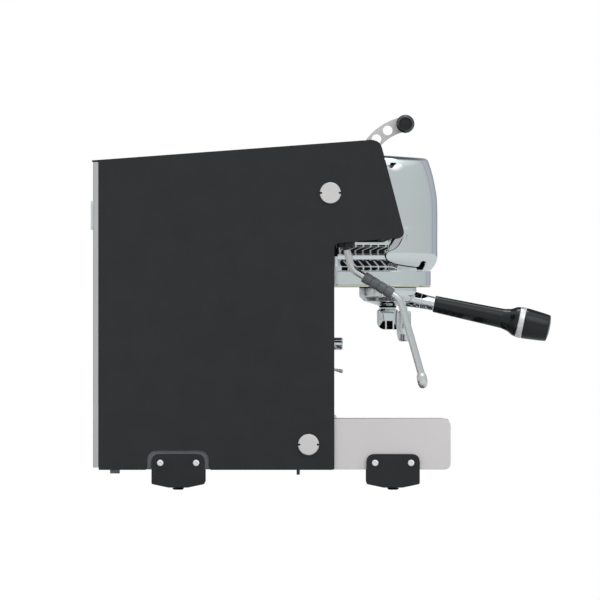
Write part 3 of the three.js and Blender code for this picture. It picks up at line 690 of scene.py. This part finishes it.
def sweep_of_slopes(start, end, first, last, steps=12):
    """Points from start to end whose slope turns steadily between two angles, in degrees below level."""
    a, b = 0, 0
    points = [(0, 0)]
    for k in range(steps):
        angle = math.radians(first + (last - first) * (k + 0.5) / steps)
        a, b = a - math.cos(angle), b - math.sin(angle)
        points.append((a, b))
    wide, tall = end[0] - start[0], end[1] - start[1]
    return [(start[0] + x / a * wide, start[1] + z / b * tall) for x, z in points]


def group_body():
    """The cast neck with its coves, joined to a straight-sided lower body that holds the gasket."""
    low, high = box_mm("group_body")
    r = 47.4
    lower = racetrack_bm([
        (r - 1, low.z), (r - 0.3, low.z + 0.4), (r - 0.2, low.z + 1.2), (r - 0.8, low.z + 1.5),
        (r - 0.8, low.z + 2.1), (r, low.z + 2.4), (r, low.z + 17.2), (r - 0.5, low.z + 17.7),
    ], high.y)
    head = shifted(turned_bm([(0, 236), (34, 236), (34, 318, 2), (0, 318)], 64), (0, GROUP_AXIS.y, 0))
    mesh = combined(to_mesh("lower", lower), [group_neck(low, high), to_mesh("head", head)], "UNION")
    recess = shifted(turned_bm([
        (0, low.z - 1), (36, low.z - 1), (36, low.z + 2.3), (40.8, low.z + 2.3), (40.8, low.z + 7.1),
        (36, low.z + 7.1), (36, 240), (0, 240),
    ], 72), (0, GROUP_AXIS.y, 0))
    mesh = combined(mesh, [to_mesh("recess", recess)])
    finished("group_body_shape", mesh, "group_body", 25)
    group_edges(low, high, r)


def group_neck(low, high):
    """Two coves run back from the hood's rim to the flange, and the lower one also round the front."""
    upper_cove = sweep_of_slopes((70, 270.8), (57, 258), 57, 34)
    lower_cove = sweep_of_slopes((55.8, 253.1), (46.9, 241.4), 47, 57)
    half = [
        (44, low.z + 12), (44, low.z + 18),
        *reversed([*upper_cove, (56.9, 257.2), (56.9, 253.6), *lower_cove]),
        (70, 272.4),
    ]
    outline = half + [(-x, z) for x, z in reversed(half)]
    neck = to_mesh("neck", prism_bm(outline, "y", GROUP_AXIS.y / MM, high.y))
    front_cove = racetrack_bm([(46.7, 239.5), *reversed(lower_cove)], -70)
    neck = combined(neck, [to_mesh("front_cove", front_cove)], "UNION")
    seam = smooth_curve([
        (-81, 300), (-81, 273), (-79.4, 268.2), (-72.4, 263), (-69.8, 259.5), (-69.9, 256), (-73.6, 251),
        (-81.4, 248.1), (-94, 245.8), (-104, 244.8),
    ], 3)
    past_seam = [(y, z) for y, z in seam] + [(-106, 241.7), (-140, 241.7), (-140, 300)]
    return combined(neck, [to_mesh("past_seam", prism_bm(past_seam, "x", -80, 80))])


def group_edges(low, high, r):
    """The flange and seal against the front wall, and the dark underside with its bright edge."""
    body = BODY_OF["group_body"]
    flange = prism_bm([
        (-71.5, 258.6, 2), (71.5, 258.6, 2), (71.5, 246, 9), (60, 224.4, 4), (-60, 224.4, 4), (-71.5, 246, 9),
    ], "y", high.y - 5.5, high.y - 0.05)
    extra("group_flange", bevelled(to_mesh("flange", flange), 0.8 * MM), body, "chrome", None)
    underside = racetrack_bm([(r - 0.9, low.z - 0.2), (r - 0.9, low.z + 0.2)], high.y - 1)
    mouth = turned_bm([(0, low.z - 2), (36.2, low.z - 2), (36.2, low.z + 2), (0, low.z + 2)], 72)
    shifted(mouth, (0, GROUP_AXIS.y, 0))
    underside = combined(to_mesh("underside", underside), [to_mesh("mouth", mouth)])
    extra("group_underside", underside, body, "black_rubber")
    trim = racetrack_bm([
        (r - 0.9, low.z + 0.2), (r - 0.1, low.z + 0.35), (r + 0.04, low.z + 0.6), (r + 0.04, low.z + 1.3),
        (r - 0.9, low.z + 1.4),
    ], high.y - 1, caps="joined")
    extra("group_trim", to_mesh("trim", trim), body, "chrome", material=PALE_BRASS)
    seal = [(-73, 271, 2), (73, 271, 2), (73, 258.9, 2), (-73, 258.9, 2)]
    seal = to_mesh("neck_seal", prism_bm(seal, "y", high.y - 6.5, high.y - 0.05))
    extra("neck_seal", bevelled(seal, 0.6 * MM), body, "black_rubber", None)


# ---- portafilter ----
HANDLE_TILT = math.radians(12.1)
HANDLE_AXIS = (0, -math.cos(HANDLE_TILT), -math.sin(HANDLE_TILT))


def handle_height():
    """Where the handle's axis meets the group's axis."""
    return JOINT["portafilter_turn"]["pos_m"][2]


def portafilter():
    origin = Vector((0, GROUP_AXIS.y, 0))
    low, high = box_mm("portafilter_body")
    bowl = to_mesh("bowl", turned_bm([
        (3.5, low.z), (8.9, low.z, 0.4), (8.9, 201.6, 0.8), (12.5, 203.2, 3), (26.5, 207.6, 3),
        (31.6, 212.4, 4), (31.6, high.z, 0.6), (28.4, high.z, 0.4), (28.4, 210), (24, 208.6), (3.5, 207.8),
    ]))
    boss = turned_bm([(0, 22), (9.6, 22), (8.6, 33, 30), (8.4, 37), (0, 37)], 64)
    aimed(boss, (0, 0, handle_height()), HANDLE_AXIS)
    lugs = []
    for side in (-1, 1):
        lug = [(side * 30.6, -7), (side * 38.4, -7, 1), (side * 38.4, 7, 1), (side * 30.6, 7)]
        lugs.append(to_mesh("lug", prism_bm(lug, "z", 226, 229.6)))
    mesh = combined(bowl, [to_mesh("boss", boss), *lugs], "UNION")
    inside = turned_bm([(0, 210), (28.4, 210), (28.4, 240), (0, 240)])
    mesh = combined(mesh, [to_mesh("inside", inside)])
    mesh.transform(Matrix.Translation(origin))
    finished("portafilter_body_shape", mesh, "portafilter_body", 32)
    seal = turned_bm([(8.95, 200.4), (9.6, 200.4, 0.3), (9.6, 201.9, 0.3), (8.95, 201.9)], 64)
    seal = to_mesh("seal", seal)
    seal.transform(Matrix.Translation(origin))
    extra("spout_seal", seal, BODY_OF["twin_spout"], "black_rubber")
    twin_spout(origin)
    low, high = box_mm("filter_basket")
    turned("filter_basket", [
        (0, low.z), (25.5, low.z, 2), (27.8, low.z + 2.3, 1), (27.8, high.z - 0.3), (31, high.z - 0.3),
        (31, high.z), (27, high.z), (27, low.z + 2.8, 1), (25, low.z + 1, 1.5), (0, low.z + 1),
    ], origin)


def twin_spout(origin):
    """A block that parts into two tongues below, with cut corners and a hole under each tongue."""
    across = prism_bm([
        (-13, 199, 1), (13, 199, 1), (19, 195.5, 3), (20, 186, 1.2), (15.9, 176.2, 0.8), (9, 176.2, 2.5),
        (8, 182.5, 3), (-8, 182.5, 3), (-9, 176.2, 2.5), (-15.9, 176.2, 0.8), (-20, 186, 1.2),
        (-19, 195.5, 3),
    ], "y", -12, 12, 8)
    side = prism_bm([
        (-9.6, 199, 0.8), (9.6, 199, 0.8), (11.9, 196.6, 1.6), (11.9, 176.2, 8.5), (-11.9, 176.2, 2),
        (-11.9, 196.6, 1.6),
    ], "x", -22, 22, 10)
    plan = prism_bm([
        (-13, -11.9), (13, -11.9), (17, -9.5), (20, -5.2), (20, 5.3), (17, 10), (13, 11.9), (-13, 11.9),
        (-17, 10), (-20, 5.3), (-20, -5.2), (-17, -9.5),
    ], "z", 170, 205)
    mesh = combined(to_mesh("across", across), [to_mesh("side", side), to_mesh("plan", plan)], "INTERSECT")
    holes = []
    for x, bottom, top, r in ((-12.4, 170, 184, 2.7), (12.4, 170, 184, 2.7), (0, 190, 205, 3.6)):
        hole = turned_bm([(0, bottom), (r, bottom), (r, top), (0, top)], 32)
        holes.append(to_mesh("hole", shifted(hole, (x * MM, 0, 0))))
    mesh = combined(mesh, holes)
    mesh.transform(Matrix.Translation(origin))
    finished("twin_spout_shape", bevelled(mesh, 0.5 * MM, 3, 35), "twin_spout", None)


def handle():
    """The stem, grip, ring and cap, turned round one axis that falls towards the front."""
    meet = Vector((0, GROUP_AXIS.y, handle_height()))
    turned("handle_stem", [
        (0, 37.3), (8.35, 37.3, 0.2), (7.9, 43, 20), (7.6, 52), (0, 52),
    ], meet, HANDLE_AXIS)
    turned("handle_grip", [
        (0, 52.3), (9.1, 52.3, 0.9), (9.25, 56), (9.65, 75), (10.1, 95), (10.5, 115), (10.9, 130, 20),
        (12.6, 137.5, 12), (15.9, 143.2, 6), (16.9, 147.3, 0.4), (0, 147.3),
    ], meet, HANDLE_AXIS, sharp=40)
    turned("handle_ring", [(0, 147.6), (17.2, 147.6, 0.5), (17.2, 153.5, 0.5), (0, 153.5)], meet, HANDLE_AXIS,
           material=RING_STEEL)
    turned("handle_cap", [
        (0, 153.8), (17, 153.8, 0.4), (17, 157, 8), (15.7, 172, 30), (14.6, 181.4, 2.2), (7, 183), (0, 183.2),
    ], meet, HANDLE_AXIS, sharp=40)


# ---- steam and hot water ----
def cross_rod(radius, low, high, y, z):
    """A round rod along X, in mm."""
    rod = turned_bm([(0, low), (radius, low), (radius, high), (0, high)], 64)
    return to_mesh("rod", aimed(rod, (0, y * MM, z * MM), (1, 0, 0)))


def steam_lever():
    """An arched plate with four holes, which turns on a shaft, and the round handle across its end."""
    arc_y, arc_z, arc_r, half, sweep = -102.7, 344.4, 59.3, 8.35, 79.8
    middle = centre("steam_lever_handle")
    x = middle.x / MM

    def on_arc(r, degrees):
        return arc_y + r * math.cos(math.radians(degrees)), arc_z + r * math.sin(math.radians(degrees))

    pivot = on_arc(arc_r, 0)
    edge = [on_arc(arc_r + half, sweep * k / 40) for k in range(41)]
    edge += [on_arc(arc_r - half, sweep * k / 40) for k in range(40, -1, -1)]
    edge += [
        (pivot[0] - half * math.cos(a), pivot[1] - half * math.sin(a))
        for a in (math.pi * k / 24 for k in range(1, 24))
    ]
    arm = to_mesh("arm", prism_bm(edge, "x", x - 2.5, x + 2.5))
    arm = combined(arm, [cross_rod(5, x - 14, x + 26, *pivot)], "UNION")
    arm = combined(arm, [cross_rod(5.3, x - 10, x + 10, *on_arc(arc_r, a)) for a in (15, 29.6, 44.6, 59.7)])
    finished("steam_lever_arm_shape", bevelled(arm, 0.5 * MM), "steam_lever_arm", None)

    low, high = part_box("steam_lever_handle")
    half = (high[0] - low[0]) / 2 / MM
    turned("steam_lever_handle", [
        (0, 1 - half), (6, 1 - half, 0.3), (6, -half, 0.3), (7.4, -half, 0.8), (10, 2.4 - half, 1.5),
        (9.7, 0, 60), (10, half - 2.4, 1.5), (7.4, half, 0.8), (6, half, 0.3), (6, half - 1, 0.3),
        (0, half - 1),
    ], middle, (1, 0, 0))
    for name, side in (("left", -1), ("right", 1)):
        rim = turned_bm([(6.2, 0.05), (7.5, 0.05, 0.4), (9.4, 1.75, 0.6), (9.1, 2.6), (6.2, 1)])
        rim = to_mesh("rim", rim)
        end = middle + Vector((side * half * MM, 0, 0))
        rim.transform(Matrix.Translation(end) @ along((-side, 0, 0)))
        body = BODY_OF["steam_lever_handle"]
        extra(f"lever_handle_rim_{name}", rim, body, "black_plastic", material=DARK_METAL)


def steam_wand():
    """The tube and its tip hang from a ball, with a grooved rubber grip on the tube."""
    pivot = Vector(JOINT["steam_wand_tilt"]["pos_m"]) / MM
    x = pivot.x
    tube_end = (x, -109.4, 128.5)
    swept("steam_tube", [
        (x, pivot.y - 1.2, pivot.z - 6.9), (x, -33.1, 243, 17.6), (x, -86.2, 210.2, 19.8), tube_end,
    ], 4)
    arc = [(7.5 * math.sin(a), -7.5 * math.cos(a)) for a in (math.pi * k / 32 for k in range(28))]
    turned("steam_ball", [*arc, (4, 6.3), (4, 14), (0, 14)], pivot * MM, material=DARK_METAL)
    refined("steam_collar", 0.5 * MM)
    start, end = Vector((x, -46.4, 234.7)), Vector((x, -78, 215.1))
    length = (end - start).length
    sleeve = [(4.3, 0), (5.2, 0, 0.4), (6.2, 1, 0.8)]
    for k in range(1, 4):
        at = length * k / 4
        sleeve += [(6.25, at - 0.9, 0.3), (5.5, at - 0.35), (5.5, at + 0.35), (6.25, at + 0.9, 0.3)]
    sleeve += [(6.2, length - 1, 0.8), (5.2, length, 0.4), (4.3, length)]
    turned("wand_grip", sleeve, start * MM, end - start, 64)
    end, tip = Vector(tube_end), Vector((x, -112.4, 111.3))
    turned("wand_tip", [
        (0, -0.8), (4.15, -0.8), (4.25, 0.8, 2), (5.5, 3.4, 3), (5.8, 8, 8), (5.3, 12.6, 4), (3.5, 16.3, 2.6),
        (0, 17.4),
    ], end * MM, tip - end, 48, 40, STEEL_POLISHED)


def hot_water_outlet():
    x = (Vector(JOINT["hot_water_swivel"]["pos_m"]) / MM).x
    swept("hot_water_tube", [
        (x, -24, 282.5), (x, -24, 262, 14), (x, -31.4, 242, 17.6), (x, -91.3, 205.6, 10), (x, -91.3, 196),
    ], 4)
    low, high = box_mm("hot_water_nozzle")
    turned("hot_water_nozzle", [
        (4.4, high.z - 4), (4.4, high.z - 0.1), (7, high.z - 0.1, 0.8), (8, high.z - 2.6, 1),
        (8, low.z + 9, 12), (6.2, low.z + 1.6, 2.6), (4.4, low.z + 0.1, 0.6), (3.6, low.z + 0.6, 0.4),
        (4.4, low.z + 8),
    ], (x * MM, centre("hot_water_nozzle").y, 0), material=FINISH["chrome"])


def controls():
    low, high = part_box("brew_button")
    radius = (high[2] - low[2]) / 2 / MM
    deep = (high[1] - low[1]) / MM
    middle = centre("brew_button")
    turned("brew_button", [
        (0, 0), (radius, 0), (radius, deep - 1.3, 0.3), (radius - 1.3, deep, 0.5), (0, deep - 0.4),
    ], (middle.x, high[1], middle.z), (0, -1, 0), material=FINISH["chrome"])
    refined("hot_water_toggle", 0.3 * MM)
    refined("vent_pin", 0.3 * MM, material=PAINTED_SHADE_AND_PIN_GREY)


# ---- light, floor and camera ----
def studio_sky(tree):
    """The colour of the room in each direction, as smooth reflections show it."""
    def node(kind, **settings):
        made = tree.nodes.new(kind)
        for key, value in settings.items():
            setattr(made, key, value)
        return made

    def link(source, target):
        tree.links.new(source, target)

    direction = node("ShaderNodeTexCoord").outputs["Generated"]
    split = node("ShaderNodeSeparateXYZ")
    link(direction, split.inputs[0])

    def along_axis(output, stops):
        spread = node("ShaderNodeMapRange")
        spread.inputs["From Min"].default_value = -1
        link(output, spread.inputs["Value"])
        ramp = node("ShaderNodeValToRGB")
        elements = ramp.color_ramp.elements
        for element, (_, colour) in zip(elements, stops):
            element.color = (*colour, 1)
        for place, colour in stops[2:]:
            elements.new(place).color = (*colour, 1)
        link(spread.outputs["Result"], ramp.inputs["Fac"])
        return ramp.outputs["Color"]

    around = along_axis(split.outputs["X"], SKY_AROUND)
    upward = along_axis(split.outputs["Z"], SKY_UPWARD)
    product = node("ShaderNodeMix", data_type="RGBA", blend_type="MULTIPLY")
    product.inputs["Factor"].default_value = 1
    link(around, product.inputs["A"])
    link(upward, product.inputs["B"])
    colour = product.outputs["Result"]
    for toward, fades, blend, tint in SKY_PATCHES:
        dot = node("ShaderNodeVectorMath", operation="DOT_PRODUCT")
        link(direction, dot.inputs[0])
        dot.inputs[1].default_value = Vector(toward).normalized()
        glow = node("ShaderNodeMapRange", interpolation_type="SMOOTHSTEP")
        glow.inputs["From Min"].default_value = fades
        link(dot.outputs["Value"], glow.inputs["Value"])
        joined = node("ShaderNodeMix", data_type="RGBA", blend_type=blend)
        link(glow.outputs["Result"], joined.inputs["Factor"])
        link(colour, joined.inputs["A"])
        joined.inputs["B"].default_value = (*tint, 1)
        colour = joined.outputs["Result"]
    return colour


# Stops of (place, colour), the two ends first. The place runs from the machine's left to its right, and from
# straight down to straight up.
SKY_AROUND = [
    (0, (0.55, 0.6, 0.6)), (1, (0.25, 0.255, 0.31)),
    (0.35, (0.53, 0.58, 0.585)), (0.7, (0.5, 0.545, 0.565)), (0.77, (0.49, 0.525, 0.56)),
    (0.81, (0.37, 0.39, 0.44)), (0.85, (0.46, 0.49, 0.54)), (0.94, (0.41, 0.43, 0.48)),
]
SKY_UPWARD = [
    (0, (0.9, 0.9, 0.9)), (1, (2.2, 2.2, 2.2)),
    (0.5, (1, 1, 1)), (0.75, (1.08, 1.08, 1.08)), (0.93, (1.5, 1.5, 1.5)),
]
# round patches: (direction, cosine where it fades out, how it joins the sky, colour)
SKY_PATCHES = [
    ((-0.75, -0.35, 0.75), 0.88, "ADD", (0.4, 0.4, 0.4)),
    ((-0.6, -0.32, 0.75), 0.94, "ADD", (0.6, 0.6, 0.6)),
    ((-0.8, -0.3, 0.52), 0.955, "ADD", (0.25, 0.25, 0.25)),
    ((0.65, 0, 0.76), 0.76, "MULTIPLY", (0.12, 0.13, 0.135)),
    ((0.25, 0, 0.97), 0.965, "ADD", (4, 4, 4)),
]


def studio_world():
    """White behind the machine, the room in its reflections, and an even light on everything matt."""
    world = bpy.data.worlds.new("studio")
    bpy.context.scene.world = world
    world.use_nodes = True
    tree = world.node_tree
    reflected = tree.nodes["Background"]
    tree.links.new(studio_sky(tree), reflected.inputs["Color"])
    white, ambient = (tree.nodes.new("ShaderNodeBackground") for _ in range(2))
    white.inputs["Color"].default_value = (1, 1, 1, 1)
    ambient.inputs["Color"].default_value = (0.72, 0.73, 0.74, 1)
    rays = tree.nodes.new("ShaderNodeLightPath")
    by_kind, by_camera = (tree.nodes.new("ShaderNodeMixShader") for _ in range(2))
    tree.links.new(rays.outputs["Is Diffuse Ray"], by_kind.inputs["Fac"])
    tree.links.new(reflected.outputs["Background"], by_kind.inputs[1])
    tree.links.new(ambient.outputs["Background"], by_kind.inputs[2])
    tree.links.new(rays.outputs["Is Camera Ray"], by_camera.inputs["Fac"])
    tree.links.new(by_kind.outputs["Shader"], by_camera.inputs[1])
    tree.links.new(white.outputs["Background"], by_camera.inputs[2])
    tree.links.new(by_camera.outputs["Shader"], tree.nodes["World Output"].inputs["Surface"])


def softbox(name, toward, power):
    """A broad, distant light that shows in no reflection."""
    light = bpy.data.lights.new(name, "SUN")
    light.energy = power
    light.angle = math.radians(60)
    lamp = bpy.data.objects.new(name, light)
    bpy.context.scene.collection.objects.link(lamp)
    lamp.rotation_euler = (-Vector(toward)).to_track_quat("-Z", "Y").to_euler()
    lamp.location = Vector(toward) * 3
    lamp.visible_glossy = False


def studio_floor():
    """A pale floor that the camera sees as plain white."""
    bm = bmesh.new()
    bmesh.ops.create_grid(bm, x_segments=1, y_segments=1, size=60)
    mesh = to_mesh("floor", bm)
    paint = powder_coat("floor_white", (0.5, 0.53, 0.53), (0.7, 0.8), grain=300)
    tree = paint.node_tree
    glow = tree.nodes.new("ShaderNodeEmission")
    ray = tree.nodes.new("ShaderNodeLightPath")
    mix = tree.nodes.new("ShaderNodeMixShader")
    tree.links.new(ray.outputs["Is Camera Ray"], mix.inputs["Fac"])
    tree.links.new(tree.nodes["Principled BSDF"].outputs["BSDF"], mix.inputs[1])
    tree.links.new(glow.outputs["Emission"], mix.inputs[2])
    tree.links.new(mix.outputs["Shader"], tree.nodes["Material Output"].inputs["Surface"])
    mesh.materials.append(paint)
    floor = bpy.data.objects.new("floor", mesh)
    bpy.context.scene.collection.objects.link(floor)
    floor.location.z = CAD_BOX[0][2] - 0.02 * MM


def studio():
    studio_world()
    softbox("left_light", (-1, -0.35, 0.7), 1.1)
    softbox("front_light", (-0.2, -1, 0.6), 0.7)
    softbox("back_light", (0.9, 0.8, 0.8), 0.9)
    studio_floor()
    bpy.context.scene.view_settings.view_transform = "Standard"


def camera():
    """A very long lens square on to the left side, so that almost nothing shows in perspective."""
    view_width = 0.66
    aside, above = 23.4 * MM, 2.4 * MM  # of the middle of the machine
    data = bpy.data.cameras.new("camera")
    data.lens = 1700
    data.sensor_width = 36
    data.clip_end = 200
    cam = bpy.data.objects.new("camera", data)
    bpy.context.scene.collection.objects.link(cam)
    low, high = CAD_BOX
    away = view_width * data.lens / data.sensor_width
    cam.location = (low[0] - away, (low[1] + high[1]) / 2 + aside, (low[2] + high[2]) / 2 + above)
    cam.rotation_euler = (math.pi / 2, 0, -math.pi / 2)
    bpy.context.scene.camera = cam


camera()
studio()
sheet_work()
round_work_inside()
coin_knobs()
feet()
group_hood()
group_body()
portafilter()
handle()
steam_lever()
steam_wand()
hot_water_outlet()
controls()
